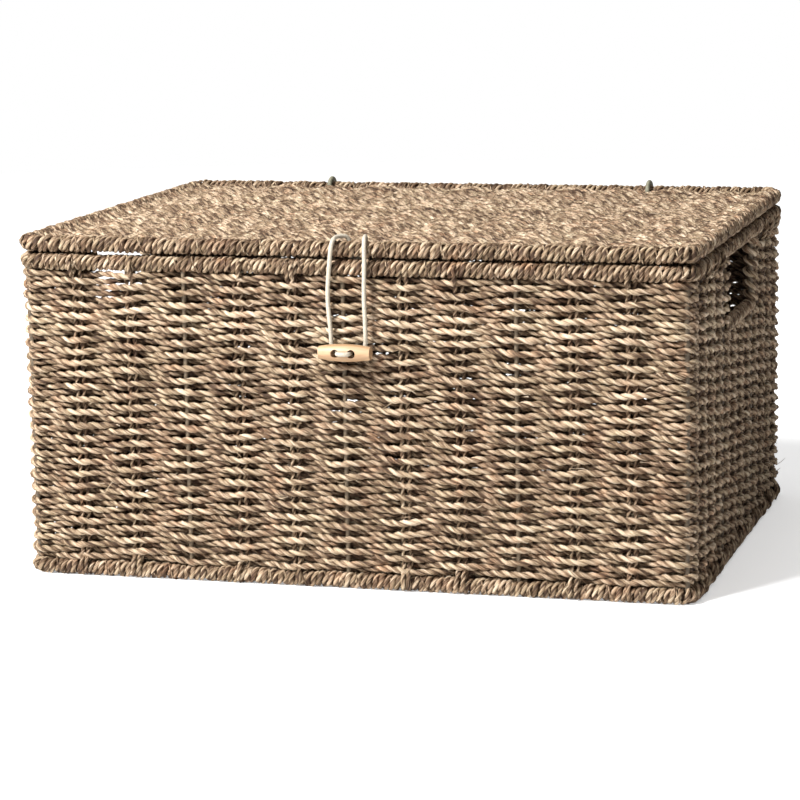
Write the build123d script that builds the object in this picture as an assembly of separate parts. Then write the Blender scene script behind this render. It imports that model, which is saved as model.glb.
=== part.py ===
from build123d import *
import math
import os

# Lidded rectangular basket of two-ply seagrass cord woven on a steel wire frame.
# Millimetres, +Z up, the front at -Y. The origin is the middle of the base, on the
# surface that the basket stands on.

# ---- driving dimensions ----------------------------------------------------------
WIDTH = 400.0            # along X, over the wrapped borders
DEPTH = 310.0            # along Y, over the wrapped borders
HEIGHT = 200.0           # from the floor to the top of the lid's border

BORDER_R = 5.0           # wrapped border: a steel rod with cord wound round it
ROD_R = 1.75             # steel rod inside each border
BEND_R = 8.0             # corner bend of the rods, to their centre line
LID_GAP = 0.4            # between the lid's border and the rim's border
FOOT_FLAT = 0.3          # how far the base border is pressed flat where it stands

WALL_T = 8.6             # woven wall: a stake with a weaver on each side
BASE_T = 8.6
LID_T = 8.0
WEAVE_INSET = 0.4        # the base and lid weaves stand back from their borders

CORD_R = 1.5             # one cord of a stake pair
PAIR_PITCH = 3.2         # between the two cords of a stake
WIRE_R = 1.3             # coated frame wire
POST_R = 1.5             # corner post
STAKE_PITCH_X = 32.5     # stakes of the front, back, base and lid
STAKE_PITCH_Y = 25.0     # stakes of the ends
WIRE_EVERY = 3           # every third stake of the front and back is a wire
MIDDLE_WIRE_X = -2.5     # the middle wire stands beside the closure's cords
FIT = 0.1                # room round a stake, wire or rod inside the weave

HANDLE_W = 96.0          # finger opening in each end, along Y
SILL_Z = 139.5           # centre line of the wrapped roll under the opening
SILL_R = 4.2

RING_X = (-101.0, 113.0)  # the two hinge rings on the back border
RING_CORD_R = 1.5
RING_CLEAR = 0.3
RING_SLOT = 0.8          # room beside a ring in the back wall
RING_PLAY = 3.2          # room under a ring in the back wall

TOGGLE_X = 2.3
TOGGLE_Z = 138.5
TOGGLE_OUT = 9.2         # from the borders' front to the toggle's middle
TOGGLE_L = 30.0
TOGGLE_MID_R = 5.0
TOGGLE_END_R = 3.6
TOGGLE_HOLE_R = 2.4
TOGGLE_HOLE_X = 4.7      # from the toggle's middle to each hole
TOGGLE_SPREAD_RUN = 3.6  # over which its two cords part behind it
TOGGLE_PARTING = 0.2     # from the toggle's back to where they start to part
TOGGLE_SADDLE = 1.0      # floor of the sunk back, behind the toggle's middle
TOGGLE_KNOT_R = 4.6
TOGGLE_KNOT_L = 5.8
ELASTIC_R = 1.25         # round elastic cord of the closure
ELASTIC_HOLE = 1.0       # a hole for the elastic is this much larger in radius
ELASTIC_CLEAR = 0.3      # between the hanging loop and the borders
CLOSURE_KNOT_R = 2.6
KNOT_GAP = 0.4           # between the wall's inside and the toggle cord's knot
KNOT_ROUND = 1.8         # rounding of both knots' ends

# ---- what follows from them ------------------------------------------------------
LINE_X = WIDTH / 2 - BORDER_R
LINE_Y = DEPTH / 2 - BORDER_R
BASE_Z = BORDER_R - FOOT_FLAT
LID_Z = HEIGHT - BORDER_R
RIM_Z = LID_Z - 2 * BORDER_R - LID_GAP
WALL_Z0 = BASE_Z + BORDER_R + FIT
WALL_Z1 = RIM_Z - BORDER_R - FIT
LID_WEAVE_Z0 = HEIGHT - WEAVE_INSET - LID_T
POST_IN = BEND_R * (1 - math.sqrt(0.5))
WALL_IN_Y = LINE_Y - WALL_T / 2
FLAT_X = LINE_X - BORDER_R - WEAVE_INSET     # half sizes of the base and lid weaves
FLAT_Y = LINE_Y - BORDER_R - WEAVE_INSET
TOGGLE_Y = -(LINE_Y + BORDER_R + TOGGLE_OUT)
LOOP_Y = -(LINE_Y + BORDER_R + ELASTIC_R + ELASTIC_CLEAR)

X_STAKES = [k * STAKE_PITCH_X for k in range(-5, 6) if k % WIRE_EVERY]
X_WIRES = [k * STAKE_PITCH_X or MIDDLE_WIRE_X for k in (-WIRE_EVERY, 0, WIRE_EVERY)]
Y_STAKES = [s * k * STAKE_PITCH_Y for s in (-1, 1) for k in (3, 4, 5)]
Y_SHORT_STAKES = [k * STAKE_PITCH_Y for k in (-1, 0, 1)]   # end under the handle
Y_WIRES = [-2 * STAKE_PITCH_Y, 2 * STAKE_PITCH_Y]          # beside the handle


# ---- helpers ---------------------------------------------------------------------
def block(x0, x1, y0, y1, z0, z1):
    """A box between two corners."""
    solid = Box(x1 - x0, y1 - y0, z1 - z0)
    return Pos((x0 + x1) / 2, (y0 + y1) / 2, (z0 + z1) / 2) * solid


def rod(start, end, radius):
    """A round bar between two points."""
    start, end = Vector(*start), Vector(*end)
    plane = Plane(origin=start, z_dir=end - start)
    return extrude(plane * Circle(radius), amount=(end - start).length)


def bar(path, radius):
    """A round bar along a path that starts tangent to its first edge."""
    profile = Plane(origin=path @ 0, z_dir=path % 0) * Circle(radius)
    return sweep(profile, path=path)


def loop_line(z):
    """Centre line of a whole border: a rectangle with bent corners."""
    outline = RectangleRounded(2 * LINE_X, 2 * LINE_Y, BEND_R)
    return Pos(0, 0, z) * outline.wire()


def side_line(side, z):
    """Centre line of one side of a border; the front and back take in the bends."""
    x, y = LINE_X, LINE_Y
    if side in ("left", "right"):
        sx = 1 if side == "right" else -1
        return Line((sx * x, -y + BEND_R, z), (sx * x, y - BEND_R, z))
    sy = 1 if side == "back" else -1
    ends = [(-x, sy * (y - BEND_R), z), (x, sy * (y - BEND_R), z)]
    corners = [(-x, sy * y, z), (x, sy * y, z)]
    return FilletPolyline(ends[0], corners[0], corners[1], ends[1], radius=BEND_R * 0.999)


def upright(x, y, z0, z1, radius):
    return rod((x, y, z0), (x, y, z1), radius)


def group(solids):
    return Compound(children=list(solids))


def save(name, shape):
    export_step(shape, f"parts/{name}.step")


# ---- frame: rods, wires and posts ------------------------------------------------
def frame_rod(z):
    return bar(loop_line(z), ROD_R)


def wire_span():
    """Lower and upper end of an upright that meets the base rod and the rim rod."""
    return BASE_Z + ROD_R + FIT / 2, RIM_Z - ROD_R - FIT / 2


def long_wires(side):
    """Upright wires of the front or back, (x, y) each."""
    sy = 1 if side == "back" else -1
    return [(x, sy * LINE_Y) for x in X_WIRES]


def end_wires(side):
    sx = 1 if side == "right" else -1
    return [(sx * LINE_X, y) for y in Y_WIRES]


def post_places():
    px, py = LINE_X - POST_IN, LINE_Y - POST_IN
    return [(sx * px, sy * py) for sx in (-1, 1) for sy in (-1, 1)]


def uprights(places, radius, extra=0.0):
    z0, z1 = wire_span()
    return [upright(x, y, z0 - extra, z1 + extra, radius + extra) for x, y in places]


def cross_wires(z, extra=0.0):
    """Wires of the base or lid, from the front rod to the back rod."""
    reach = LINE_Y - ROD_R - FIT / 2 + extra
    return [rod((x, -reach, z), (x, reach, z), WIRE_R + extra) for x in X_WIRES]


# ---- wrapped borders -------------------------------------------------------------
def wrap(side, z, cutters):
    """Cord wound closely round one side of a rod, as its outer tube."""
    line = side_line(side, z)
    tube = bar(line, BORDER_R) - bar(line, ROD_R + FIT / 2)
    for cutter in cutters:
        tube -= cutter
    return tube.solids()[0]


def border_cutters(side, z):
    """The uprights and cross wires that come through one side of a border."""
    places = long_wires(side) if side in ("front", "back") else end_wires(side)
    cutters = [] if z == LID_Z else uprights(places, WIRE_R, FIT)
    if side in ("front", "back"):
        sy = 1 if side == "back" else -1
        if z != LID_Z:
            cutters += uprights([p for p in post_places() if p[1] * sy > 0], POST_R, FIT)
        if z != RIM_Z:
            cutters += cross_wires(z, FIT)
    return cutters


def base_wrap(side):
    tube = wrap(side, BASE_Z, border_cutters(side, BASE_Z))
    floor = block(-WIDTH, WIDTH, -DEPTH, DEPTH, -2 * BORDER_R, 0)
    return tube - floor


# ---- stakes: pairs of cords ------------------------------------------------------
def pair(x, y, z0, z1, along_x=True):
    step = PAIR_PITCH / 2
    dx, dy = (step, 0) if along_x else (0, step)
    return [upright(x + s * dx, y + s * dy, z0, z1, CORD_R) for s in (-1, 1)]


def channel(x, y, z0, z1, along_x=True):
    """The slot in a wall that a pair of cords runs through."""
    long_half = PAIR_PITCH / 2 + CORD_R + FIT
    short_half = CORD_R + FIT
    hx, hy = (long_half, short_half) if along_x else (short_half, long_half)
    return block(x - hx, x + hx, y - hy, y + hy, z0, z1)


def long_stakes(side):
    y = LINE_Y if side == "back" else -LINE_Y
    return group(s for x in X_STAKES for s in pair(x, y, WALL_Z0, WALL_Z1))


def end_stakes(side):
    x = LINE_X if side == "right" else -LINE_X
    low_top = SILL_Z - SILL_R - FIT
    solids = [s for y in Y_STAKES for s in pair(x, y, WALL_Z0, WALL_Z1, False)]
    solids += [s for y in Y_SHORT_STAKES for s in pair(x, y, WALL_Z0, low_top, False)]
    return group(solids)


def flat_stakes(z, reach):
    """Stakes of the base or lid: pairs of cords that run from front to back."""
    step = PAIR_PITCH / 2
    spots = [x + s * step for x in X_STAKES for s in (-1, 1)]
    return group(rod((x, -reach, z), (x, reach, z), CORD_R) for x in spots)


# ---- woven walls, base and lid ---------------------------------------------------
def long_wall(side):
    """Front or back wall, with its rounded corners, round its stakes and wires."""
    sy = 1 if side == "back" else -1
    hx = LINE_X + WALL_T / 2
    y0, y1 = sorted((sy * WALL_IN_Y, sy * (LINE_Y + WALL_T / 2)))
    wall = block(-hx, hx, y0, y1, WALL_Z0, WALL_Z1)
    outer = wall.edges().filter_by(Axis.Z).sort_by(Axis.Y)
    outer = outer[-2:] if sy > 0 else outer[:2]
    wall = fillet(outer, WALL_T / 2)
    for x in X_STAKES:
        wall -= channel(x, sy * LINE_Y, WALL_Z0 - 1, WALL_Z1 + 1)
    for cutter in uprights(long_wires(side), WIRE_R, FIT):
        wall -= cutter
    for cutter in uprights([p for p in post_places() if p[1] * sy > 0], POST_R, FIT):
        wall -= cutter
    return wall


def front_wall():
    """The front wall has a round way through it for the toggle's cord."""
    wall = long_wall("front")
    outside, inside = -(LINE_Y + WALL_T), -(LINE_Y - WALL_T)
    hole_r = 2 * ELASTIC_R + ELASTIC_HOLE
    wall -= rod((TOGGLE_X, outside, TOGGLE_Z), (TOGGLE_X, inside, TOGGLE_Z), hole_r)
    return wall.solids()[0]


def back_wall():
    """The back wall is parted under the rim where the hinge rings turn."""
    wall = long_wall("back")
    half = RING_CORD_R + RING_SLOT
    bottom = RIM_Z - BORDER_R - RING_CLEAR - 2 * RING_CORD_R - RING_PLAY
    for x in RING_X:
        wall -= block(x - half, x + half, WALL_IN_Y - 1, LINE_Y + WALL_T, bottom, WALL_Z1 + 1)
    return wall.solids()[0]


def end_wall(side):
    """End wall with the finger opening that runs up to the rim."""
    sx = 1 if side == "right" else -1
    x0, x1 = sorted((sx * (LINE_X - WALL_T / 2), sx * (LINE_X + WALL_T / 2)))
    y = WALL_IN_Y - FIT
    wall = block(x0, x1, -y, y, WALL_Z0, WALL_Z1)
    for place in Y_STAKES + Y_SHORT_STAKES:
        wall -= channel(sx * LINE_X, place, WALL_Z0 - 1, WALL_Z1 + 1, False)
    for cutter in uprights(end_wires(side), WIRE_R, FIT):
        wall -= cutter
    half = HANDLE_W / 2
    wall -= block(x0 - 1, x1 + 1, -half, half, SILL_Z - SILL_R - FIT, WALL_Z1 + 1)
    return wall.solids()[0]


def handle_sill(side):
    """Cord wound round the cut-off stakes along the bottom of the finger opening."""
    x = LINE_X if side == "right" else -LINE_X
    half = HANDLE_W / 2 - FIT
    return rod((x, -half, SILL_Z), (x, half, SILL_Z), SILL_R)


def flat_weave(z0, z1, wire_z):
    """Base or lid: weavers along X over stakes and wires from front to back."""
    hx, hy = FLAT_X, FLAT_Y
    sheet = block(-hx, hx, -hy, hy, z0, z1)
    sheet = fillet(sheet.edges().filter_by(Axis.Z), BORDER_R)
    half = PAIR_PITCH / 2 + CORD_R + FIT
    tall = CORD_R + FIT
    for x in X_STAKES:
        sheet -= block(x - half, x + half, -hy - 1, hy + 1, wire_z - tall, wire_z + tall)
    for cutter in cross_wires(wire_z, FIT):
        sheet -= cutter
    return sheet


def lid_weave():
    """The lid's weave, parted at its back edge round the two hinge rings, and
    with the two places where the ends of the closure's cord come through."""
    sheet = flat_weave(LID_WEAVE_Z0, LID_WEAVE_Z0 + LID_T, LID_Z)
    half = RING_CORD_R + FIT
    inner = LINE_Y - BORDER_R - RING_CLEAR - 2 * RING_CORD_R - FIT
    for x in RING_X:
        sheet -= block(x - half, x + half, inner, LINE_Y, LID_WEAVE_Z0 - 1, HEIGHT)
    for x, y, z in (LOOP_ROUTE[0], LOOP_ROUTE[-1]):
        sheet -= upright(x, y, LID_WEAVE_Z0 - 1, HEIGHT, ELASTIC_R + ELASTIC_HOLE)
    return sheet.solids()[0]


# ---- hinge rings -----------------------------------------------------------------
def hinge_ring(x):
    """A closed ring of coated cord round the lid's back bar and the rim's back bar."""
    radius = BORDER_R + RING_CLEAR + RING_CORD_R
    low, high, y = RIM_Z, LID_Z, LINE_Y
    sides = [
        Line((x, y - radius, low), (x, y - radius, high)),
        ThreePointArc((x, y - radius, high), (x, y, high + radius), (x, y + radius, high)),
        Line((x, y + radius, high), (x, y + radius, low)),
        ThreePointArc((x, y + radius, low), (x, y, low - radius), (x, y - radius, low)),
    ]
    return bar(Wire(sides), RING_CORD_R)


# ---- closure: toggle on the basket, elastic loop on the lid ----------------------
def toggle():
    """A barrel with flat ends, turned about X, with two holes and a sunk back."""
    half = TOGGLE_L / 2
    outline = [
        Line((-half, 0), (-half, TOGGLE_END_R)),
        ThreePointArc((-half, TOGGLE_END_R), (0, TOGGLE_MID_R), (half, TOGGLE_END_R)),
        Line((half, TOGGLE_END_R), (half, 0)),
        Line((half, 0), (-half, 0)),
    ]
    barrel = revolve(make_face(Wire(outline)), axis=Axis.X)
    for x in (-TOGGLE_HOLE_X, TOGGLE_HOLE_X):
        barrel -= rod((x, -10, 0), (x, 10, 0), TOGGLE_HOLE_R)
    saddle = TOGGLE_HOLE_X
    barrel -= block(-saddle, saddle, TOGGLE_SADDLE, 10, -TOGGLE_HOLE_R, TOGGLE_HOLE_R)
    return Pos(TOGGLE_X, TOGGLE_Y, TOGGLE_Z) * barrel.solids()[0]


def toggle_route():
    """From the knot inside the wall, out through the toggle and back again."""
    near = ELASTIC_R + FIT / 2
    inside = -(WALL_IN_Y - KNOT_GAP)
    parting = TOGGLE_Y + TOGGLE_MID_R - TOGGLE_PARTING
    spread = TOGGLE_HOLE_X - TOGGLE_HOLE_R + ELASTIC_R
    front = TOGGLE_Y - TOGGLE_MID_R - ELASTIC_R
    half = [(near, inside), (near, parting), (spread, parting - TOGGLE_SPREAD_RUN), (spread, front)]
    points = [(-x, y) for x, y in half] + [(x, y) for x, y in reversed(half)]
    return [(TOGGLE_X + x, y, TOGGLE_Z) for x, y in points]


def toggle_cord():
    radii = [2.5, 2.5, 2.8, 2.8, 2.5, 2.5]    # of the route's six bends, in turn
    return bar(FilletPolyline(*toggle_route(), radius=radii), ELASTIC_R)


def toggle_knot():
    """The knot that holds the toggle's cord behind the front wall."""
    start = -(WALL_IN_Y - KNOT_GAP)
    end = start + TOGGLE_KNOT_L
    knot = rod((TOGGLE_X, start, TOGGLE_Z), (TOGGLE_X, end, TOGGLE_Z), TOGGLE_KNOT_R)
    return fillet(knot.edges().filter_by(GeomType.CIRCLE), KNOT_ROUND)


# The elastic loop, end to end: up through the lid's weave, over the lid's border, down
# the front, round behind the toggle and back up. Chosen by hand.
LOOP_ROUTE = [
    (0.7, -143.0, 191.5),
    (0.7, -143.0, 201.5),
    (-5.6, -148.4, 202.2),
    (-6.6, -157.0, 200.4),
    (-8.2, -156.8, 186.0),
    (-9.8, -156.7, 168.5),
    (-8.3, -156.6, 152.5),
    (-7.4, LOOP_Y, 134.0),
    (12.0, LOOP_Y, 134.0),
    (12.2, -156.6, 153.0),
    (11.6, -156.7, 170.0),
    (12.4, -156.8, 187.0),
    (12.4, -157.0, 200.4),
    (10.6, -148.4, 202.2),
    (9.5, -143.0, 201.5),
    (9.5, -143.0, 191.5),
]


def route_radii(points):
    """Each arc as large as its two runs allow."""
    radii = []
    for a, b, c in zip(points, points[1:], points[2:]):
        before, after = Vector(*b) - Vector(*a), Vector(*c) - Vector(*b)
        half_turn = math.radians(before.get_angle(after)) / 2
        radii.append(0.45 * min(before.length, after.length) / math.tan(half_turn))
    return radii


def closure_loop():
    radii = route_radii(LOOP_ROUTE)
    line = FilletPolyline(*LOOP_ROUTE, radius=radii)
    tube = bar(line, ELASTIC_R)
    expected = math.pi * ELASTIC_R**2 * line.length
    print("closure_loop radii", [round(r, 1) for r in radii])
    print(f"closure_loop length {line.length:.1f}, volume {tube.volume:.1f} of {expected:.1f}")
    return tube


def closure_knot():
    """The two ends of the loop are knotted together under the lid."""
    radius = CLOSURE_KNOT_R
    x0, x1 = LOOP_ROUTE[0][0], LOOP_ROUTE[-1][0]
    y, z = LOOP_ROUTE[0][1], LOOP_ROUTE[0][2] - radius - FIT / 2
    knot = rod((x0 - 2, y, z), (x1 + 2, y, z), radius)
    return fillet(knot.edges().filter_by(GeomType.CIRCLE), KNOT_ROUND)


# ---- write every piece -----------------------------------------------------------
def main():
    os.makedirs("parts", exist_ok=True)
    for name, z in (("base", BASE_Z), ("rim", RIM_Z), ("lid", LID_Z)):
        save(f"{name}_rod", frame_rod(z))
    for side in ("front", "back", "left", "right"):
        save(f"base_border_{side}", base_wrap(side))
        save(f"rim_border_{side}", wrap(side, RIM_Z, border_cutters(side, RIM_Z)))
        save(f"lid_border_{side}", wrap(side, LID_Z, border_cutters(side, LID_Z)))
    save("corner_posts", group(uprights(post_places(), POST_R)))
    for side in ("front", "back"):
        save(f"{side}_wires", group(uprights(long_wires(side), WIRE_R)))
        save(f"{side}_stakes", long_stakes(side))
    for side in ("left", "right"):
        save(f"{side}_wires", group(uprights(end_wires(side), WIRE_R)))
        save(f"{side}_stakes", end_stakes(side))
        save(f"{side}_weave", end_wall(side))
        save(f"{side}_handle_sill", handle_sill(side))
    save("front_weave", front_wall())
    save("back_weave", back_wall())
    save("base_wires", group(cross_wires(BASE_Z)))
    save("base_stakes", flat_stakes(BASE_Z, FLAT_Y))
    save("base_weave", flat_weave(0, BASE_T, BASE_Z).solids()[0])
    save("lid_wires", group(cross_wires(LID_Z)))
    save("lid_stakes", flat_stakes(LID_Z, FLAT_Y))
    save("lid_weave", lid_weave())
    for name, x in zip(("left", "right"), RING_X):
        save(f"hinge_ring_{name}", hinge_ring(x))
    save("toggle", toggle())
    save("toggle_cord", toggle_cord())
    save("toggle_knot", toggle_knot())
    save("closure_loop", closure_loop())
    save("closure_knot", closure_knot())


main()
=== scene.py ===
"""Lidded rectangular basket of two-ply seagrass cord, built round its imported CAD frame.

Every cord is real geometry: weavers, stakes, border wraps, turned-back ends, loose fibres.
Lengths are in millimetres until a mesh is made. +Z up, the front at -Y.
"""

import math

import bpy
import numpy as np
from mathutils import Matrix, Vector


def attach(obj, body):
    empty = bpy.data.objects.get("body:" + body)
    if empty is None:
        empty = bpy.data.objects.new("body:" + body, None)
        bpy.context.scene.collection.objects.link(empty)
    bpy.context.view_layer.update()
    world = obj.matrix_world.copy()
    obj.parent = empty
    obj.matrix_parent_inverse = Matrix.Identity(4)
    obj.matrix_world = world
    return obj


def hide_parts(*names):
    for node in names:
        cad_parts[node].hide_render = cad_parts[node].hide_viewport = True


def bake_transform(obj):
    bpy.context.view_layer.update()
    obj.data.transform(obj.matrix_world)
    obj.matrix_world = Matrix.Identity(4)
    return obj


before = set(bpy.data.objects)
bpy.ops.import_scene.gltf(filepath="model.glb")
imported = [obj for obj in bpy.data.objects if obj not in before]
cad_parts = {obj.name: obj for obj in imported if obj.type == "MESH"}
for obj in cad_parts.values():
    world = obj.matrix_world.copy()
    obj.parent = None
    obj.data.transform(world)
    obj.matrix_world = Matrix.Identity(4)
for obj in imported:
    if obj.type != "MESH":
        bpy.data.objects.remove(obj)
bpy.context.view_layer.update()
rng = np.random.default_rng(7)

# ---- the CAD frame's sizes, in millimetres ---------------------------------------
MM = 0.001
LINE_X, LINE_Y = 195.0, 150.0       # centre lines of the walls and borders
BEND_R = 8.0                        # corner bend of those lines
BASE_Z, RIM_Z, LID_Z = 4.7, 184.6, 195.0
X_STAKES = [-162.5, -130.0, -97.5, -65.0, -32.5, -2.5, 32.5, 65.0, 97.5, 130.0, 162.5]
X_WIRES = (-97.5, -2.5, 97.5)
Y_STAKES = [25.0 * k for k in range(-5, 6)]
Y_WIRES = (-50.0, 50.0)
SILL_Z, HANDLE_HALF = 139.5, 48.0
TOGGLE = np.array([2.3, -164.2, 138.5])
ELASTIC_R = 1.25

# ---- walls -----------------------------------------------------------------------
ROWS = 48
FIRST_OPEN_ROW = 36                 # rows from here up turn back beside the finger openings
BAND_EDGES = (0, 9, 18, 27, FIRST_OPEN_ROW, ROWS)
ROW_Z0, ROW_PITCH = 11.8, 3.54
ROW_STEP = 1.4                      # between the sections of a weaver
WEAVE_SWING = 2.95                  # how far a weaver goes to each side of the stakes
WEAVER_R = 2.12
END_EXTRA, UNSEEN_EXTRA = 0.18, 0.38   # extra radius off the front, and again at the back and left
WEAVER_LIGHT, BEHIND_SHADE = 0.06, 0.34   # its shade, and the painted shade that darkens it behind a stake
HOOK_REACH = 3.2                    # how far a turned-back end reaches past its wire
CORNER_WIDE, CORNER_FLAT = 7.0, 0.75   # over what length, and how far, it lies flat at a post
PARTING = 3.2                       # how far rows are pushed up or down by the toggle's cord
PARTING_WIDE, PARTING_TALL, PARTING_SOFT = 26.0, 6.5, 1.2
STAKE_R, STAKE_HALF = 1.45, 2.0
WALL_FACE = 3.6                     # from the wall's centre line to where loose fibres start
TIE_R, TIE_HALF, TIE_SHARE = 1.55, 1.6, 0.6
TIE_ENDS = (60, 130)                # the ends' rim ties are this far from their middle
RIM_TIE = ((171.0, 175.5, 179.5, 184.0, 187.4), (0.5, 2.8, 4.6, 6.0, 4.0))   # heights, reaches
BASE_TIE = ((17.0, 13.0, 9.5, 5.0, 1.8), (0.5, 2.8, 4.4, 5.2, 3.4))

# ---- base and lid ----------------------------------------------------------------
FLAT_REACH_X, FLAT_REACH_Y, FLAT_STAKE_REACH = 191.5, 144.2, 146.0
BASE_ROWS, BASE_SWING, BASE_WEAVER_R, BASE_STEP = 78, 1.6, 2.35, 2.5
LID_ROWS, LID_SWING, LID_WEAVER_R, LID_STEP = 80, 2.0, 2.5, 1.5
LID_WEAVE_Z, LID_FACE_Z = LID_Z - 0.5, LID_Z + 2.6
WALL_FIBRES, LID_FIBRES = 420, 260

# ---- wrapped borders and sills ---------------------------------------------------
WRAP_LEAD = 6.7                     # two cords are wound together
WRAP_R = 1.85
WRAP_LINE = 3.25                    # from the rod's centre to the wrap cord's
WRAP_STEP = 1.35                    # between the sections of a wrap cord
CORE_R, CORE_SECTIONS = 3.2, 400    # inner cord that closes the gaps of the wrap, very dark as painted shade in those gaps
CROSS_LEAD, CROSS_R, CROSS_OUT = 10.3, 0.8, 0.75   # the thin cord that crosses the wrap
CROSS_SECTIONS = 18                 # in each of its turns
FOOT = 0.05                         # the base border is pressed flat at this height
SILL_LEAD, SILL_LINE, SILL_CORD_R, SILL_STEP = 7.0, 2.6, 1.75, 0.28


# ---- cords gathered into one mesh ------------------------------------------------
RING = 8                            # corners of a cord's section
ANGLES = np.arange(RING) * 2 * math.pi / RING
TWO_PLY = 0.55 + 0.45 * np.abs(np.cos(ANGLES)) ** 1.1
GROOVE_SHADE = 0.50 * (1 - np.abs(np.cos(ANGLES)))   # painted shade: darkening of the groove between the plies
ROUND = np.ones(RING)
PLY_LEAD = 14.0                     # length of one full turn of a weaver's two plies
WRAP_PLY_LEAD, SILL_PLY_LEAD, THIN_PLY_LEAD = 13.0, 12.0, 9.0
NO_LEAD = 1e9                       # a cord that doesn't turn
PLY_SHADE = 0.09                    # how much the two plies differ in shade
STRIP, STRIP_GAP = 11.0, 1.5        # width of a cord's strip in the layout, and the gap
GRAIN_ACROSS, GRAIN_ALONG = 0.32, 7.0   # size of one unit of the streaks' noise


def unit(v):
    return v / np.linalg.norm(v, axis=-1, keepdims=True)


def carried(path):
    """Side vectors carried along a line without twist."""
    tangent = unit(np.gradient(path, axis=0))
    side = np.cross(tangent[0], [0.31, 0.52, 0.79])
    sides = []
    for t in tangent:
        side = side - t * (side @ t)
        side = side / np.linalg.norm(side)
        sides.append(side)
    return np.array(sides)


def section_axes(path, side, closed):
    """Two directions across a line at each of its points, and the lengths of its runs."""
    if closed:
        ahead = np.roll(path, -1, 0)
        tangent, runs = ahead - np.roll(path, 1, 0), ahead - path
    else:
        tangent, runs = np.gradient(path, axis=0), np.diff(path, axis=0)
    tangent = unit(tangent)
    side = np.broadcast_to(np.asarray(side, float), path.shape)
    side = unit(side - tangent * (side * tangent).sum(1, keepdims=True))
    return side, np.cross(tangent, side), np.linalg.norm(runs, axis=1)


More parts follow.
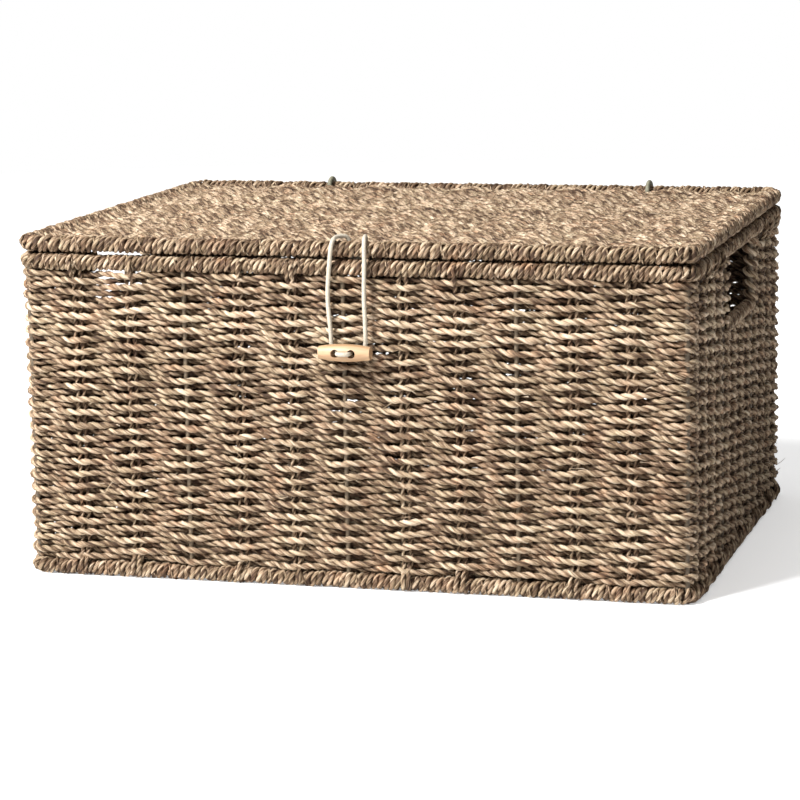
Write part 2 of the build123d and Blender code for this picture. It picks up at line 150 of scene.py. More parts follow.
class Strands:
    """Cords of one piece: each is a tube whose section turns along its line."""

    def __init__(self):
        self.corners, self.faces, self.uvs = [], [], []
        self.tints, self.grains = [], []
        self.count, self.run = 0, 0.0

    def add(self, path, side, radius, tint=0.5, lead=PLY_LEAD, section=TWO_PLY, closed=False):
        """One cord. Its section is turned from `side`, once round in each length `lead`."""
        n = len(path)
        side, up, steps = section_axes(path, side, closed)
        along = np.concatenate([[0.0], np.cumsum(steps)])[:n]
        length = steps.sum()
        turns = max(1, round(length / lead)) if closed else length / lead
        phase = rng.uniform(0, 2 * math.pi) + 2 * math.pi * turns * along / length
        angle = phase[:, None] + ANGLES
        reach = np.broadcast_to(radius, (n,))[:, None] * section
        points = (
            path[:, None]
            + (reach * np.cos(angle))[..., None] * side[:, None]
            + (reach * np.sin(angle))[..., None] * up[:, None]
        )
        self.corners.append(points.reshape(-1, 3))
        ply = PLY_SHADE * rng.normal() * np.sign(np.cos(ANGLES + 0.01))
        # the groove between the plies is darkened here as painted shade
        shade = np.broadcast_to(tint, (n,))[:, None] + ply - GROOVE_SHADE
        self.tints.append(shade.ravel())
        self.add_grain(reach, along)
        self.add_faces(along, steps, closed)
        self.run += length
        self.count += n * RING

    def add_grain(self, reach, along):
        """Where each corner lies in the streaks' noise: across the cord, and along it."""
        offset = rng.uniform(0, 400, 3)
        grain = np.stack(
            [
                offset[0] + reach * np.cos(ANGLES) / GRAIN_ACROSS,
                offset[1] + reach * np.sin(ANGLES) / GRAIN_ACROSS,
                offset[2] + np.broadcast_to(along[:, None], reach.shape) / GRAIN_ALONG,
            ],
            axis=-1,
        )
        self.grains.append(grain.reshape(-1, 3))

    def add_faces(self, along, steps, closed):
        """Quads between neighbouring sections, with their layout, and an open cord's two ends."""
        n, spans = len(along), len(steps)
        j = np.arange(RING)
        k = (j + 1) % RING
        first = self.count + np.arange(spans)[:, None] * RING
        second = self.count + (np.arange(1, spans + 1) % n)[:, None] * RING
        quads = np.stack([first + j, first + k, second + k, second + j], axis=-1)
        self.faces.append(quads.reshape(-1, 4))
        start = self.run + along[:spans]
        u = np.stack([0 * start, 0 * start, steps, steps], -1)
        v = np.stack([j, j + 1, j + 1, j], -1) * STRIP / RING
        self.uvs.append((start, u, v))
        if not closed:
            last = self.count + (n - 1) * RING
            self.faces.append(np.array([self.count + j[::-1], last + j]))
            self.uvs.append(None)

    def layout(self):
        """Strips of cord side by side in the unit square, for the piece's UV map."""
        width = math.sqrt(self.run * (STRIP + STRIP_GAP)) + 1
        whole = width + STRIP + 8
        out, last = [], 0.0
        for entry in self.uvs:
            if entry is None:
                out.append(np.tile([0.0, last], (2 * RING, 1)))
                continue
            start, u, v = entry
            strip = np.floor(start / width)
            across = (start - strip * width)[:, None] + u
            down = (strip * (STRIP + STRIP_GAP))[:, None, None] + v
            us = np.broadcast_to(across[:, None], (len(start), RING, 4))
            pair = np.stack([us, np.broadcast_to(down, us.shape)], -1).reshape(-1, 2)
            out.append(pair / whole)
            last = down[-1, 0, 0] / whole
        return np.concatenate(out)

    def make(self, name, material, body, slot, replaces=()):
        """One mesh of all the cords, on a body, in place of the CAD nodes named."""
        mesh = bpy.data.meshes.new(name)
        corners = np.concatenate(self.corners) * MM
        loops = np.concatenate([f.ravel() for f in self.faces])
        sizes = np.concatenate([np.full(len(f), f.shape[1]) for f in self.faces])
        starts = np.concatenate([[0], np.cumsum(sizes)[:-1]])
        mesh.vertices.add(len(corners))
        mesh.vertices.foreach_set("co", corners.ravel())
        mesh.loops.add(len(loops))
        mesh.loops.foreach_set("vertex_index", loops.astype(np.int32))
        mesh.polygons.add(len(sizes))
        mesh.polygons.foreach_set("loop_start", starts.astype(np.int32))
        mesh.polygons.foreach_set("use_smooth", np.ones(len(sizes), bool))
        # tint: each cord's own tone, with painted shade in the ply grooves and behind stakes
        tint = mesh.attributes.new("tint", "FLOAT", "POINT")
        tint.data.foreach_set("value", np.concatenate(self.tints).astype(np.float32))
        grain = mesh.attributes.new("grain", "FLOAT_VECTOR", "POINT")
        grain.data.foreach_set("vector", np.concatenate(self.grains).astype(np.float32).ravel())
        layout = mesh.uv_layers.new(name="OFBake")
        layout.data.foreach_set("uv", self.layout().astype(np.float32).ravel())
        mesh.update(calc_edges=True)
        mesh.materials.append(material)
        obj = bpy.data.objects.new(name, mesh)
        bpy.context.scene.collection.objects.link(obj)
        if body:
            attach(obj, body)
        if replaces:
            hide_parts(*replaces)
        print(f"{name}: {2 * len(np.concatenate(self.corners))} triangles")
        return obj


# ---- lines -----------------------------------------------------------------------
def rounded_loop(half_x, half_y, bend):
    """A rounded rectangle, anticlockwise from the middle of the front left corner:
    distance along it, points and outward normals."""
    centres = [(-1, -1), (1, -1), (1, 1), (-1, 1), (-1, -1)]
    spans = [(225, 270), (270, 360), (360, 450), (450, 540), (540, 585)]
    points, normals = [], []
    for (sx, sy), (a, b) in zip(centres, spans):
        turn = np.radians(np.linspace(a, b, 40))
        out = np.stack([np.cos(turn), np.sin(turn)], -1)
        centre = np.array([sx * (half_x - bend), sy * (half_y - bend)])
        points.append(centre + bend * out)
        normals.append(out)
    points, normals = np.concatenate(points), np.concatenate(normals)
    along = np.concatenate([[0], np.cumsum(np.linalg.norm(np.diff(points, axis=0), axis=1))])
    return along, points, normals


LOOP_S, LOOP_P, LOOP_N = rounded_loop(LINE_X, LINE_Y, BEND_R)
PERIMETER = LOOP_S[-1]
QUARTER = math.pi * BEND_R / 2
FRONT_S = QUARTER / 2                             # where the front's straight begins
RIGHT_S = FRONT_S + 2 * (LINE_X - BEND_R) + QUARTER
BACK_S = RIGHT_S + 2 * (LINE_Y - BEND_R) + QUARTER
LEFT_S = BACK_S + 2 * (LINE_X - BEND_R) + QUARTER


def front_s(x):
    return FRONT_S + x + LINE_X - BEND_R


def right_s(y):
    return RIGHT_S + y + LINE_Y - BEND_R


def back_s(x):
    return BACK_S - x + LINE_X - BEND_R


def left_s(y):
    return LEFT_S - y + LINE_Y - BEND_R


def stake_places():
    """Distance along the loop of every upright, corner posts included."""
    places = [0.0] + [front_s(x) for x in X_STAKES]
    places += [RIGHT_S - QUARTER / 2] + [right_s(y) for y in Y_STAKES]
    places += [BACK_S - QUARTER / 2] + [back_s(x) for x in reversed(X_STAKES)]
    places += [LEFT_S - QUARTER / 2] + [left_s(y) for y in reversed(Y_STAKES)]
    return np.array(places + [PERIMETER])


STAKE_S = stake_places()
CORNER_S = np.array([0.0, RIGHT_S - QUARTER / 2, BACK_S - QUARTER / 2, LEFT_S - QUARTER / 2])


def on_loop(s):
    """Points, outward normals and stake number at distances s round the loop."""
    s = np.mod(s, PERIMETER)
    point = np.stack([np.interp(s, LOOP_S, LOOP_P[:, i]) for i in (0, 1)], -1)
    normal = np.stack([np.interp(s, LOOP_S, LOOP_N[:, i]) for i in (0, 1)], -1)
    return point, unit(normal), np.interp(s, STAKE_S, np.arange(len(STAKE_S)))


def spot_on_loop(s):
    """Point, outward normal and direction along the loop at one distance s."""
    point, normal, _ = on_loop(np.array([s]))
    return point[0], normal[0], np.array([-normal[0][1], normal[0][0]])


def from_corner(s):
    """Distance along the loop to the nearest corner."""
    half = PERIMETER / 2
    past = np.mod(np.asarray(s)[..., None] - CORNER_S + half, PERIMETER) - half
    return np.abs(past).min(axis=-1)


def steps_between(a, b, step):
    return np.linspace(a, b, int(abs(b - a) / step) + 1)


def waves(s, cycles, heights, phases):
    """A smooth wander that closes round the loop."""
    total = 0 * s
    for c, h, p in zip(cycles, heights, phases):
        total = total + h * np.sin(2 * math.pi * c * s / PERIMETER + p)
    return total


def swing(stake_number):
    """Side to side from stake to stake, nearly straight between them."""
    a = math.pi * stake_number
    return 0.9 * np.cos(a) + 0.1 * np.cos(3 * a)


def cord_tint(s):
    """Shade along one cord: its own, and a slow change."""
    own = rng.normal(0.56, 0.07)
    phases = rng.uniform(0, 6.28, 3)
    return own + waves(s, (19, 43, 97), (0.04, 0.05, 0.05), phases)


# ---- weavers of the walls --------------------------------------------------------
SHARED = rng.uniform(0, 6.28, 5)


def row_height(s, row):
    """Rows drift together, each a little by itself, and part where the toggle's cord comes out."""
    drift = SHARED + np.array([0.11, -0.17, 0.23, -0.31, 0.5]) * row
    z = ROW_Z0 + ROW_PITCH * row + waves(s, (3, 7, 12, 19, 31), (0.35, 0.45, 0.4, 0.35, 0.3), drift)
    z = z + waves(s, (37, 53, 71), (0.24, 0.2, 0.15), rng.uniform(0, 6.28, 3))
    near_toggle = np.exp(-(((s - front_s(TOGGLE[0])) / PARTING_WIDE) ** 2))
    from_hole = z - TOGGLE[2]
    fading = np.exp(-np.abs(from_hole) / PARTING_TALL)
    return z + near_toggle * PARTING * np.tanh(from_hole / PARTING_SOFT) * fading


def turned_back(path, normal, end):
    """The end of a weaver, bent inwards round the wire and up by one row."""
    step = unit(path[end] - path[1 if end == 0 else -2])
    bend = np.linspace(0, math.pi, 9)[1:, None]
    out = np.append(normal[end], 0) * WEAVE_SWING
    hook = path[end] - out + out * np.cos(bend) + step * np.sin(bend) * HOOK_REACH
    hook[:, 2] += ROW_PITCH * bend[:, 0] / math.pi
    return hook


def wall_row(strands, row, s, closed):
    """One weaver. An end that meets a finger opening outside the wire turns back round it."""
    point, normal, number = on_loop(s)
    sign = 1 if row % 2 else -1
    corner = np.exp(-((from_corner(s) / CORNER_WIDE) ** 2))
    off = sign * WEAVE_SWING * swing(number) * (1 - CORNER_FLAT * corner)
    off = off + rng.uniform(-0.2, 0.8) * corner
    behind = 0.5 - off / (2 * WEAVE_SWING)
    path = np.column_stack([point + normal * off[:, None], row_height(s, row)])
    off_front = point[:, 1] > 1 - LINE_Y
    unseen = (point[:, 1] > LINE_Y - 2) | (point[:, 0] < 2 - LINE_X)
    own = rng.normal(1, 0.03)
    uneven = 1 + waves(s, (43, 97), (0.05, 0.04), rng.uniform(0, 6, 2))
    radius = (WEAVER_R + END_EXTRA * off_front + UNSEEN_EXTRA * unseen) * own * uneven
    # painted shade: the weaver is darker where it passes behind a stake
    tint = cord_tint(s) + WEAVER_LIGHT - BEHIND_SHADE * behind
    for end in (0, -1):
        if not closed and off[end] > 0:
            hook = turned_back(path, normal, end)
            path = np.vstack([hook[::-1], path] if end == 0 else [path, hook])
            added = (len(hook), 0) if end == 0 else (0, len(hook))
            radius, tint = np.pad(radius, added, "edge"), np.pad(tint, added, "edge")
    strands.add(path, (0, 0, 1), radius, tint, closed=closed)


def wall_band(rows):
    """Whole rounds below the finger openings; above that, one weaver in front and one behind."""
    strands = Strands()
    low, high = Y_WIRES
    for row in rows:
        if row < FIRST_OPEN_ROW:
            s = steps_between(0, PERIMETER, ROW_STEP)[:-1]
            wall_row(strands, row, s, closed=True)
        else:
            s = steps_between(left_s(low) - PERIMETER, right_s(low), ROW_STEP)
            wall_row(strands, row, s, closed=False)
            s = steps_between(right_s(high), left_s(high), ROW_STEP)
            wall_row(strands, row, s, closed=False)
    return strands


# ---- stakes ----------------------------------------------------------------------
def upright_pair(strands, s, z0, z1):
    """Two cords side by side between the borders."""
    for half in (-STAKE_HALF, STAKE_HALF):
        point, normal, along = spot_on_loop(s + half)
        z = steps_between(z0, z1, 2.0)
        wobble = waves(z * 8, (11, 29), (0.2, 0.15), rng.uniform(0, 6, 2))
        path = np.column_stack([point + along * wobble[:, None], z])
        tint = rng.normal(0.36, 0.06)
        strands.add(path, np.append(normal, 0), STAKE_R, tint, lead=THIN_PLY_LEAD)


def wall_stakes():
    strands = Strands()
    low, high = BASE_Z + 3, RIM_Z - 3
    for x in X_STAKES:
        if x not in X_WIRES:
            upright_pair(strands, front_s(x), low, high)
            upright_pair(strands, back_s(x), low, high)
    for y in Y_STAKES:
        if y not in Y_WIRES:
            top = SILL_Z if abs(y) < HANDLE_HALF else high
            upright_pair(strands, right_s(y), low, top)
            upright_pair(strands, left_s(y), low, top)
    return strands


def tie(strands, s, heights, reaches):
    """The end of a stake's cord, bent out of the wall and over a border."""
    point, normal, along = spot_on_loop(s)
    t = np.linspace(0, 1, 16)
    knots = np.linspace(0, 1, len(heights))
    height, reach = np.interp(t, knots, heights), np.interp(t, knots, reaches)
    for _ in range(2):
        height[1:-1] = (height[:-2] + height[1:-1] + height[2:]) / 3
        reach[1:-1] = (reach[:-2] + reach[1:-1] + reach[2:]) / 3
    lean = along * rng.normal(0, 0.8)
    xy = point + normal * reach[:, None] + lean * t[:, None]
    tint = rng.normal(0.5, 0.08)
    strands.add(np.column_stack([xy, height]), (*lean, 0.3), TIE_R, tint, lead=THIN_PLY_LEAD)


def border_ties():
    """Stake ends tied over the base border and, except at the back, over the rim."""
    strands = Strands()
    near, far = TIE_ENDS
    at_rim = [front_s(x) for x in X_STAKES if x not in X_WIRES]
    at_rim += [side(y) for side in (right_s, left_s) for y in Y_STAKES if near < abs(y) < far]
    at_back = [back_s(x) for x in X_STAKES if x not in X_WIRES]
    for spot in at_rim + at_back:
        for half in (-TIE_HALF, TIE_HALF):
            if spot in at_rim and rng.random() < TIE_SHARE:
                tie(strands, spot + half, *RIM_TIE)
            if rng.random() < TIE_SHARE:
                tie(strands, spot + half, *BASE_TIE)
    return strands


def flat_stakes(z):
    """The pairs of cords that run from front to back in the base or lid."""
    strands = Strands()
    reach = FLAT_STAKE_REACH
    for x in X_STAKES:
        if x in X_WIRES:
            continue
        for half in (-STAKE_HALF, STAKE_HALF):
            y = steps_between(-reach, reach, 2.2)
            wobble = waves(y * 4, (11, 29), (0.2, 0.15), rng.uniform(0, 6, 2))
            path = np.column_stack([x + half + wobble, y, np.full(len(y), z)])
            strands.add(path, (0, 0, 1), STAKE_R, rng.normal(0.4, 0.06), lead=THIN_PLY_LEAD)
    return strands


# ---- weavers of the base and lid -------------------------------------------------
FLAT_PLACES = np.array([-LINE_X] + X_STAKES + [LINE_X])


def flat_rows(rows, count, z, amp, radius, step):
    """Weavers along X over and under the stakes that run from front to back."""
    strands = Strands()
    for row in rows:
        x = steps_between(-FLAT_REACH_X, FLAT_REACH_X, step)
        number = np.interp(x, FLAT_PLACES, np.arange(len(FLAT_PLACES)))
        sign = 1 if row % 2 else -1
        y0 = FLAT_REACH_Y * (2 * row / (count - 1) - 1)
        drift = SHARED + np.array([0.2, -0.1, 0.27, 0.33, -0.4]) * row
        y = y0 + waves(x, (5, 11, 17), (0.25, 0.3, 0.25), drift)
        y = y + waves(x, (41, 67), (0.14, 0.1), rng.uniform(0, 6.28, 2))
        height = z + sign * amp * swing(number) + waves(x, (4, 9), (0.15, 0.2), drift)
        own = radius * rng.normal(1, 0.03)
        strands.add(np.column_stack([x, y, height]), (0, 1, 0), own, cord_tint(x))
    return strands


def lid_rows(rows):
    return flat_rows(rows, LID_ROWS, LID_WEAVE_Z, LID_SWING, LID_WEAVER_R, LID_STEP)


# ---- wrapped borders -------------------------------------------------------------
def wind(strands, z, s, angle, reach, radius, tint, lead):
    """One cord wound round a border's centre line."""
    point, normal, _ = on_loop(s)
    out = np.column_stack([normal * np.cos(angle)[:, None], np.sin(angle)])
    path = np.column_stack([point, np.full(len(s), z)]) + out * reach[:, None]
    strands.add(path, out, radius, tint, lead=lead, closed=True)


def wrapped_loop(z):
    """Two cords wound side by side round a whole border, and a thin one that crosses them."""
    strands = Strands()
    s = np.arange(CORE_SECTIONS) * PERIMETER / CORE_SECTIONS
    shade_core = np.column_stack([on_loop(s)[0], np.full(len(s), z)])
    # the inner cord fills the wrap; its very dark tint of 0.1 is painted shade seen through the gaps
    strands.add(shade_core, (0, 0, 1), CORE_R, 0.1, section=ROUND, closed=True)
    turns = round(PERIMETER / WRAP_LEAD)
    steps = int(turns * 2 * math.pi * WRAP_LINE / WRAP_STEP)
    s = np.arange(steps) * PERIMETER / steps
    for start in (0, math.pi):
        uneven = waves(s, (13, 31, 67), (0.5, 0.4, 0.3), rng.uniform(0, 6.28, 3))
        angle = start + 2 * math.pi * turns * s / PERIMETER + uneven * 0.6
        reach = WRAP_LINE + waves(s, (29, 83, 151), (0.12, 0.12, 0.12), rng.uniform(0, 6, 3))
        tint = cord_tint(s) + waves(s, (157, 233), (0.08, 0.08), rng.uniform(0, 6, 2))
        wind(strands, z, s, angle, reach, WRAP_R, tint, WRAP_PLY_LEAD)
    turns = round(PERIMETER / CROSS_LEAD)
    steps = turns * CROSS_SECTIONS
    s = np.arange(steps) * PERIMETER / steps
    uneven = waves(s, (17, 41), (1.2, 0.8), rng.uniform(0, 6, 2))
    angle = 1.3 - 2 * math.pi * turns * s / PERIMETER + uneven
    reach = WRAP_LINE + CROSS_OUT + waves(s, (37, 71), (0.4, 0.3), rng.uniform(0, 6, 2))
    wind(strands, z, s, angle, reach, CROSS_R, cord_tint(s) - 0.08, THIN_PLY_LEAD)
    return strands


def press_flat(strands, floor):
    """Nothing of these cords reaches lower than the floor."""
    for corners in strands.corners:
        corners[:, 2] = np.maximum(corners[:, 2], floor)


def wrapped_sill(x):
    """Two cords wound over the cut-off stakes under a finger opening."""
    strands = Strands()
    y = steps_between(-HANDLE_HALF + 2, HANDLE_HALF - 2, SILL_STEP)
    line = np.column_stack([np.full(len(y), x), y, np.full(len(y), SILL_Z)])
    for start in (0, math.pi):
        uneven = waves(y * 9, (7, 19), (1, 0.6), rng.uniform(0, 6, 2))
        angle = start + 2 * math.pi * y / SILL_LEAD + 0.4 * uneven
        out = np.column_stack([np.cos(angle), 0 * angle, np.sin(angle)])
        path = line + out * SILL_LINE
        strands.add(path, out, SILL_CORD_R, cord_tint(y * 3), lead=SILL_PLY_LEAD)
    return strands


# ---- loose fibres ----------------------------------------------------------------
def fibre(strands, root, out, along):
    """A short bent hair that stands off the weave."""
    t = np.linspace(0, 1, 7)[:, None]
    length, curl = rng.uniform(3, 8), rng.normal(0, 0.4, 3)
    heading = unit(along * rng.choice([-1, 1]) + out * rng.uniform(0.05, 0.35) + curl * 0.3)
    path = root + heading * length * t + (curl - out * 0.2) * length * 0.4 * t**2
    thin = np.linspace(0.26, 0.12, 7)
    tint = rng.choice([0.75, 0.55, 0.2]) + rng.normal(0, 0.08)
    strands.add(path, unit(np.cross(heading, [0.3, 0.2, 0.9])), thin, tint, section=ROUND)


def wall_fibres():
    strands = Strands()
    for _ in range(WALL_FIBRES):
        s = rng.uniform(0, PERIMETER)
        z = rng.uniform(12, 176)
        from_opening = min(abs(s - right_s(0)), abs(s - left_s(0))) - HANDLE_HALF
        if z > SILL_Z and from_opening < 4:
            continue
        point, normal, along = spot_on_loop(s)
        out = np.append(normal, 0)
        along = np.append(along, rng.normal(0, 0.3))
        if from_corner(s) > 12:
            fibre(strands, np.append(point, z) + out * WALL_FACE, out, along)
    return strands


def lid_fibres():
    strands = Strands()
    for _ in range(LID_FIBRES):
        root = np.array([rng.uniform(-184, 184), rng.uniform(-140, 138), LID_FACE_Z])
        along = unit(rng.normal(0, 1, 3) * (1, 0.5, 0.1))
        fibre(strands, root, np.array([0, 0, 1.0]), along)
    return strands


# ---- materials -------------------------------------------------------------------
def material(name):
    """A new material, its node tree and its shader."""
    mat = bpy.data.materials.new(name)
    mat.use_nodes = True
    return mat, mat.node_tree, mat.node_tree.nodes["Principled BSDF"]


def ramp(tree, stops):
    """A colour ramp with these (place, colour) stops."""
    node = tree.nodes.new("ShaderNodeValToRGB")
    elements = node.color_ramp.elements
    elements[0].position, elements[0].color = stops[0][0], (*stops[0][1], 1)
    elements[1].position, elements[1].color = stops[-1][0], (*stops[-1][1], 1)
    for place, colour in stops[1:-1]:
        elements.new(place).color = (*colour, 1)
    return node


def math_node(tree, operation, a, b):
    node = tree.nodes.new("ShaderNodeMath")
    node.operation = operation
    for socket, value in zip(node.inputs, (a, b)):
        if isinstance(value, (int, float)):
            socket.default_value = value
        else:
            tree.links.new(value, socket)
    return node.outputs[0]


def attribute(tree, name):
    node = tree.nodes.new("ShaderNodeAttribute")
    node.attribute_name = name
    return node


def noise(tree, vector, scale, detail=2.0):
    node = tree.nodes.new("ShaderNodeTexNoise")
    node.inputs["Scale"].default_value = scale
    node.inputs["Detail"].default_value = detail
    tree.links.new(vector, node.inputs["Vector"])
    return node.outputs["Fac"]


def object_vector(tree, scale=(1, 1, 1)):
    coord = tree.nodes.new("ShaderNodeTexCoord")
    mapping = tree.nodes.new("ShaderNodeMapping")
    mapping.inputs["Scale"].default_value = scale
    tree.links.new(coord.outputs["Object"], mapping.inputs["Vector"])
    return mapping.outputs["Vector"]


def bump(tree, height, distance, strength=0.6):
    node = tree.nodes.new("ShaderNodeBump")
    node.inputs["Distance"].default_value = distance
    node.inputs["Strength"].default_value = strength
    tree.links.new(height, node.inputs["Height"])
    return node.outputs["Normal"]


def seagrass(name, shift=0.0):
    """Dried grass: streaks that follow the plies, patches of greener and redder straw."""
    mat, tree, shader = material(name)
    grain = attribute(tree, "grain").outputs["Vector"]
    streak = noise(tree, grain, 1.0, 4.0)
    patch = noise(tree, object_vector(tree), 55.0, 2.0)
    # tint: each cord's own tone, with painted shade in the ply grooves and behind stakes
    tint = attribute(tree, "tint").outputs["Fac"]
    centred = math_node(tree, "MULTIPLY", math_node(tree, "SUBTRACT", streak, 0.5), 2.6)
    value = math_node(tree, "ADD", tint, centred)
    slow = math_node(tree, "MULTIPLY", math_node(tree, "SUBTRACT", patch, 0.5), 0.35)
    value = math_node(tree, "ADD", math_node(tree, "ADD", value, slow), shift)
    straw = ramp(
        tree,
        [
            (0.0, (0.035, 0.016, 0.007)),
            (0.25, (0.140, 0.083, 0.044)),
            (0.5, (0.335, 0.240, 0.155)),
            (0.75, (0.500, 0.390, 0.275)),
            (1.0, (0.600, 0.500, 0.385)),
        ],
    )
    tree.links.new(value, straw.inputs["Fac"])
    greener, plain, redder = (0.98, 1.0, 0.96), (1.0, 0.99, 0.99), (1.08, 0.93, 0.84)
    hue = ramp(tree, [(0.35, greener), (0.58, plain), (0.78, redder)])
    tree.links.new(noise(tree, object_vector(tree), 90.0, 1.0), hue.inputs["Fac"])
    mix = tree.nodes.new("ShaderNodeMix")
    mix.data_type, mix.blend_type = "RGBA", "MULTIPLY"
    mix.inputs["Factor"].default_value = 1.0
    tree.links.new(straw.outputs["Color"], mix.inputs["A"])
    tree.links.new(hue.outputs["Color"], mix.inputs["B"])
    tree.links.new(mix.outputs["Result"], shader.inputs["Base Color"])
    shader.inputs["Roughness"].default_value = 0.72
    shader.inputs["Specular IOR Level"].default_value = 0.3
    tree.links.new(bump(tree, streak, 0.0006), shader.inputs["Normal"])
    return mat


def fleck(name, dark, light, rough, scale, metallic=0.0, stretch=(1, 1, 1), depth=0.0001):
    """A plain material with a fine procedural mottle and matching bump."""
    mat, tree, shader = material(name)
    spots = noise(tree, object_vector(tree, stretch), scale, 3.0)
    colour = ramp(tree, [(0.35, dark), (0.65, light)])
    tree.links.new(spots, colour.inputs["Fac"])
    tree.links.new(colour.outputs["Color"], shader.inputs["Base Color"])
    shader.inputs["Roughness"].default_value = rough
    shader.inputs["Metallic"].default_value = metallic
    tree.links.new(bump(tree, spots, depth), shader.inputs["Normal"])
    return mat


def elastic(name):
    """Off-white round elastic with a fine braided cover."""
    mat, tree, shader = material(name)
    grain = attribute(tree, "grain").outputs["Vector"]
    scale = tree.nodes.new("ShaderNodeMapping")
    scale.inputs["Scale"].default_value = (0.6, 0.6, 14.0)
    tree.links.new(grain, scale.inputs["Vector"])
    braid = noise(tree, scale.outputs["Vector"], 1.0, 1.0)
    colour = ramp(tree, [(0.3, (0.29, 0.25, 0.19)), (0.6, (0.46, 0.41, 0.33))])
    tree.links.new(braid, colour.inputs["Fac"])
    tree.links.new(colour.outputs["Color"], shader.inputs["Base Color"])
    shader.inputs["Roughness"].default_value = 0.8
    tree.links.new(bump(tree, braid, 0.0002), shader.inputs["Normal"])
    return mat


GRASS = seagrass("seagrass_weave")
BORDER_GRASS = seagrass("seagrass_border", -0.12)
LID_GRASS = seagrass("seagrass_lid", -0.09)
STAKE_GRASS = seagrass("seagrass_stakes", -0.04)
STEEL = fleck("frame_steel", (0.30, 0.30, 0.29), (0.42, 0.42, 0.40), 0.45, 900, metallic=0.9)
WIRE = fleck("coated_wire", (0.085, 0.06, 0.035), (0.17, 0.125, 0.078), 0.65, 700)
POST = fleck("corner_post", (0.045, 0.03, 0.018), (0.10, 0.072, 0.043), 0.75, 600)
RING_CORD = fleck("hinge_ring", (0.11, 0.105, 0.07), (0.20, 0.19, 0.135), 0.7, 600, depth=0.0004)
BEECH = fleck("toggle_wood", (0.29, 0.17, 0.085), (0.40, 0.26, 0.145), 0.5, 420, stretch=(0.08, 1, 1))
ELASTIC = elastic("elastic_cord")


# ---- basket ----------------------------------------------------------------------
def sides_of(pattern):
    """The CAD nodes of the four sides."""
    return [pattern.format(side) for side in ("front", "right", "back", "left")]


def build_basket():
    for number, (first, last) in enumerate(zip(BAND_EDGES, BAND_EDGES[1:]), 1):
        stands_for = sides_of("{}_weave") if number == 1 else ()
        band = wall_band(range(first, last))
        band.make(f"wall_weavers_{number}", GRASS, "basket", "seagrass_weave", stands_for)
    wall_stakes().make("wall_stakes", STAKE_GRASS, "basket", "seagrass_stakes", sides_of("{}_stakes"))
    base_border = wrapped_loop(BASE_Z)
    press_flat(base_border, FOOT)
    base_sides = sides_of("base_border_{}")
    base_border.make("base_wrap", BORDER_GRASS, "basket", "seagrass_border", base_sides)
    rim_border = wrapped_loop(RIM_Z)
    rim_border.make("rim_wrap", BORDER_GRASS, "basket", "seagrass_border", sides_of("rim_border_{}"))
    for side, x in (("left", -LINE_X), ("right", LINE_X)):
        sill = wrapped_sill(x)
        sill.make(f"{side}_sill_wrap", BORDER_GRASS, "basket", "seagrass_border", [f"{side}_handle_sill"])
    rows = flat_rows(range(BASE_ROWS), BASE_ROWS, BASE_Z, BASE_SWING, BASE_WEAVER_R, BASE_STEP)
    rows.make("base_weavers", GRASS, "basket", "seagrass_weave", ["base_weave"])
    wall_fibres().make("wall_fibres", GRASS, "basket", "seagrass_weave")
    border_ties().make("border_ties", BORDER_GRASS, "basket", "seagrass_border")
    flat_stakes(BASE_Z).make("base_cords", STAKE_GRASS, "basket", "seagrass_stakes", ["base_stakes"])


def build_lid():
    lid_border = wrapped_loop(LID_Z)
    lid_border.make("lid_wrap", BORDER_GRASS, "lid", "seagrass_border", sides_of("lid_border_{}"))
    half = LID_ROWS // 2
    front = lid_rows(range(half))
    front.make("lid_weavers_front", LID_GRASS, "lid", "seagrass_weave", ["lid_weave"])
    lid_rows(range(half, LID_ROWS)).make("lid_weavers_back", LID_GRASS, "lid", "seagrass_weave")
    lid_fibres().make("lid_fibres", LID_GRASS, "lid", "seagrass_weave")
    flat_stakes(LID_WEAVE_Z).make("lid_cords", STAKE_GRASS, "lid", "seagrass_stakes", ["lid_stakes"])


# ---- closure ---------------------------------------------------------------------
LOOP_Y = -156.55
# The elastic loop, end to end: up through the lid's weave, over its border, down the front,
# round behind the toggle and back up.
LOOP_ROUTE = [
    (0.7, -143.0, 191.5),
    (0.7, -143.0, 201.5),
    (-5.6, -148.4, 202.2),
    (-6.6, -157.0, 200.4),
    (-8.2, -156.8, 186.0),
    (-9.8, -156.7, 168.5),
    (-8.3, -156.6, 152.5),
    (-7.4, LOOP_Y, 134.0),
    (12.0, LOOP_Y, 134.0),
    (12.2, -156.6, 153.0),
    (11.6, -156.7, 170.0),
    (12.4, -156.8, 187.0),
    (12.4, -157.0, 200.4),
    (10.6, -148.4, 202.2),
    (9.5, -143.0, 201.5),
    (9.5, -143.0, 191.5),
]
# Half of the toggle's cord, from its middle: across, and back or forward, from the knot to the front.
TOGGLE_HALF_ROUTE = [(1.3, 18.9), (1.3, 4.8), (3.55, 1.2), (3.55, -6.25)]
ELASTIC_STEP = 0.9


def smooth_line(points, step):
    """The NURBS line of these control points: even points along it, and its length."""
    curve = bpy.data.curves.new("line", "CURVE")
    curve.dimensions = "3D"
    curve.resolution_u = 24
    spline = curve.splines.new("NURBS")
    spline.points.add(len(points) - 1)
    for place, p in zip(spline.points, points):
        place.co = (*(c * MM for c in p), 1)
    spline.order_u = 3
    spline.use_endpoint_u = True
    holder = bpy.data.objects.new("line", curve)
    mesh = bpy.data.meshes.new_from_object(holder)
    line = np.array([v.co for v in mesh.vertices]) / MM
    bpy.data.objects.remove(holder)
    bpy.data.curves.remove(curve)
    bpy.data.meshes.remove(mesh)
    along = np.concatenate([[0], np.cumsum(np.linalg.norm(np.diff(line, axis=0), axis=1))])
    s = steps_between(0, along[-1], step)
    return np.stack([np.interp(s, along, line[:, i]) for i in range(3)], -1), along[-1]


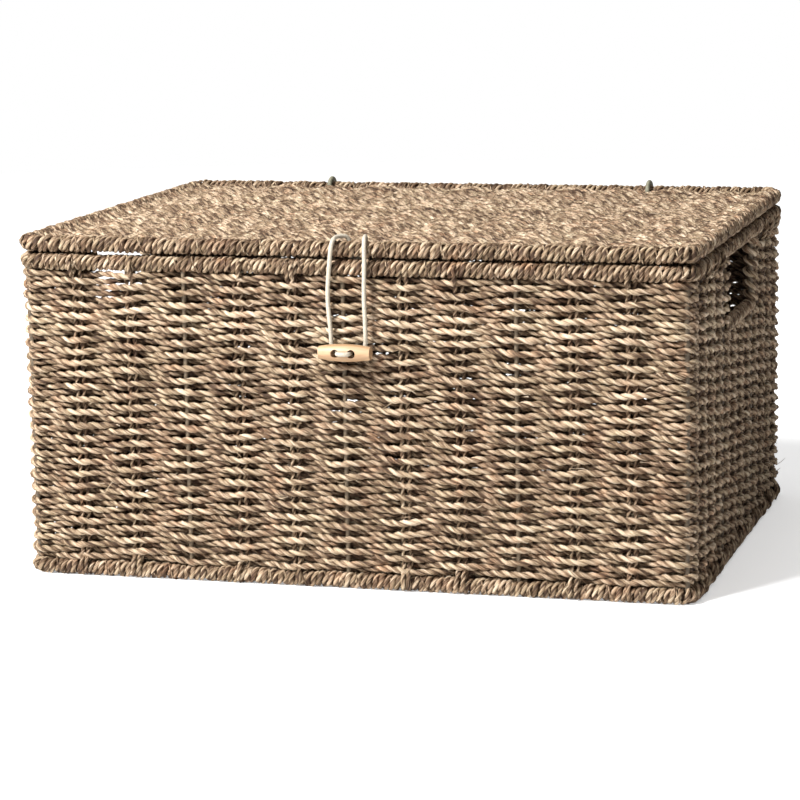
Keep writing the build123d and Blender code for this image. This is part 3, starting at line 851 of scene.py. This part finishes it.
def elastic_tube(name, points, body, replaces):
    line, length = smooth_line(points, ELASTIC_STEP)
    strands = Strands()
    strands.add(line, carried(line), ELASTIC_R, 0.5, lead=NO_LEAD, section=ROUND)
    return strands.make(name, ELASTIC, body, "elastic_cord", replaces), line, length


def knot(name, centre, size, squeeze, body, replaces):
    """A small overhand knot of the same elastic."""
    t = np.linspace(0, 2 * math.pi, 90, endpoint=False)
    line = np.stack(
        [
            np.sin(t) + 2 * np.sin(2 * t),
            np.cos(t) - 2 * np.cos(2 * t),
            -1.3 * np.sin(3 * t),
        ],
        -1,
    )
    line = line / 3 * size * np.array(squeeze) + np.array(centre)
    inward = np.array(centre) - line + 0.01
    strands = Strands()
    strands.add(line, inward, ELASTIC_R, 0.5, lead=NO_LEAD, section=ROUND, closed=True)
    return strands.make(name, ELASTIC, body, "elastic_cord", replaces)


def build_closure():
    loop, line, length = elastic_tube("closure_elastic", LOOP_ROUTE, None, ["closure_loop"])
    print("closure loop length", round(length, 2))
    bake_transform(loop)
    x, y, z = TOGGLE
    route = [(x - a, y + b, z) for a, b in TOGGLE_HALF_ROUTE]
    route += [(x + a, y + b, z) for a, b in reversed(TOGGLE_HALF_ROUTE)]
    elastic_tube("toggle_elastic", route, "toggle", ["toggle_cord"])
    knot("toggle_elastic_knot", (x, -142.6, z), 3.6, (1, 0.6, 1), "toggle", ["toggle_knot"])
    place = (5.1, -143.0, 188.9)
    knot("closure_elastic_knot", place, 4.2, (1.3, 0.75, 0.35), "lid", ["closure_knot"])


def dress_cad():
    """Materials for the CAD nodes that stay in view."""
    looks = {"rod": STEEL, "wires": WIRE, "posts": POST, "toggle": BEECH, "hinge": RING_CORD}
    for name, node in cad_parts.items():
        for word, mat in looks.items():
            if word in name:
                node.data.materials.clear()
                node.data.materials.append(mat)


# ---- studio ----------------------------------------------------------------------
AMBIENT = 0.27                      # soft light from all round; the backdrop itself is white
MIDDLE = Vector((0, 0, 0.1))        # what the lights and the camera aim at, in metres
FLOOR_R = 2.3
FLOOR_GLOW, FLOOR_GLOW_SEEN = 0.08, 0.32   # the second is for what the camera sees of it
CAMERA_TURN = (16.10, 10.25, -1.02)   # yaw, pitch and roll in degrees
CAMERA_AWAY, CAMERA_LEFT, CAMERA_DOWN = 1.822, 0.0127, 0.0174
CAMERA_LENS = 133.7


def area_light(name, place, size, power):
    data = bpy.data.lights.new(name, "AREA")
    data.shape, data.size, data.energy = "SQUARE", size, power
    obj = bpy.data.objects.new(name, data)
    obj.location = place
    obj.rotation_euler = (MIDDLE - Vector(place)).to_track_quat("-Z", "Y").to_euler()
    bpy.context.scene.collection.objects.link(obj)


def build_floor():
    mesh = bpy.data.meshes.new("floor")
    turn = np.linspace(0, 2 * math.pi, 96, endpoint=False)
    rim = [(FLOOR_R * math.cos(a), FLOOR_R * math.sin(a), 0.0) for a in turn]
    mesh.from_pydata(rim, [], [list(range(len(rim)))])
    floor = bpy.data.objects.new("floor", mesh)
    mat, tree, shader = material("studio_floor")
    shader.inputs["Base Color"].default_value = (0.93, 0.93, 0.93, 1)
    shader.inputs["Roughness"].default_value = 0.9
    shader.inputs["Emission Color"].default_value = (1, 1, 1, 1)
    rays = tree.nodes.new("ShaderNodeLightPath")
    glow = math_node(tree, "MULTIPLY", rays.outputs["Is Camera Ray"], FLOOR_GLOW_SEEN)
    tree.links.new(math_node(tree, "ADD", glow, FLOOR_GLOW), shader.inputs["Emission Strength"])
    mesh.materials.append(mat)
    bpy.context.scene.collection.objects.link(floor)


def build_light():
    world = bpy.data.worlds.new("studio")
    world.use_nodes = True
    tree = world.node_tree
    tree.nodes["Background"].inputs["Color"].default_value = (1, 1, 1, 1)
    rays = tree.nodes.new("ShaderNodeLightPath")
    seen = math_node(tree, "MULTIPLY", rays.outputs["Is Camera Ray"], 1.0 - AMBIENT)
    tree.links.new(math_node(tree, "ADD", seen, AMBIENT), tree.nodes["Background"].inputs["Strength"])
    bpy.context.scene.world = world
    area_light("key", (-1.15, -1.75, 1.85), size=0.8, power=200)
    area_light("top", (0.1, 0.2, 2.6), size=2.0, power=16)
    bpy.context.scene.view_settings.view_transform = "Standard"


def build_camera():
    yaw, pitch, roll = (math.radians(a) for a in CAMERA_TURN)
    flat = math.cos(pitch)
    forward = Vector((-math.sin(yaw) * flat, math.cos(yaw) * flat, -math.sin(pitch)))
    level = Vector((math.cos(yaw), math.sin(yaw), 0))
    above = level.cross(forward)
    right = level * math.cos(roll) + above * math.sin(roll)
    up = above * math.cos(roll) - level * math.sin(roll)
    place = MIDDLE - forward * CAMERA_AWAY - right * CAMERA_LEFT - up * CAMERA_DOWN
    data = bpy.data.cameras.new("camera")
    data.lens, data.sensor_width = CAMERA_LENS, 36.0
    camera = bpy.data.objects.new("camera", data)
    turn = Matrix((right, up, -forward)).transposed().to_4x4()
    camera.matrix_world = Matrix.Translation(place) @ turn
    bpy.context.scene.collection.objects.link(camera)
    bpy.context.scene.camera = camera


build_camera()
build_closure()
build_basket()
build_lid()
dress_cad()
build_floor()
build_light()
